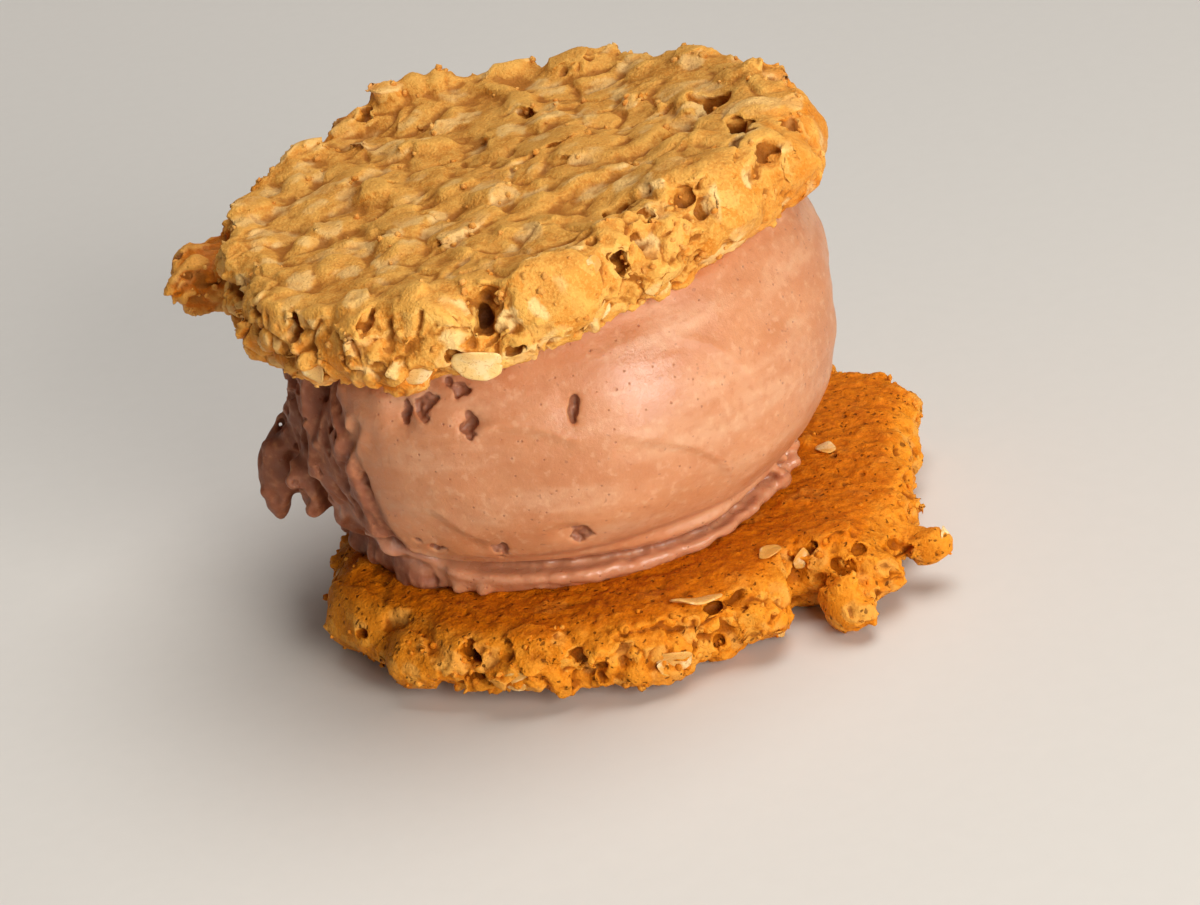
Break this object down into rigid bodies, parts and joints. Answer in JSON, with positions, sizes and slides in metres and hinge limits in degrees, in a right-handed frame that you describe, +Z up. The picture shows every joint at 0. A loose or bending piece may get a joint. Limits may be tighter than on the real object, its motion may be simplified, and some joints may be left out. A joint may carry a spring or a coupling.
{
  "type": "ice cream sandwich",
  "caption": "Squashed scoop of chocolate ice cream between craggy oatmeal cookies, the upper one leaning.",
  "frame": {"origin": "on the table, under the middle of the lower cookie's baked face", "axes": "+Z up; the upper cookie leans about +Y, its -X side low; the tidier side of the scoop faces -Y"},
  "size_m": [0.1091, 0.0963, 0.071],
  "materials": {
    "upper_cookie": "dry golden baked oatmeal cookie dough, rough and crumbly",
    "ice_cream": "satin milk chocolate ice cream, slightly melted and waxy",
    "lower_cookie": "orange-brown porous baked underside of an oatmeal cookie",
    "oat_flakes": "pale bare rolled oat flakes, dry and slightly glossy"
  },
  "bodies": {
    "root": {"upper_cookie": "upper_cookie", "ice_cream": "ice_cream", "lower_cookie": "lower_cookie"}
  },
  "joints": []
}
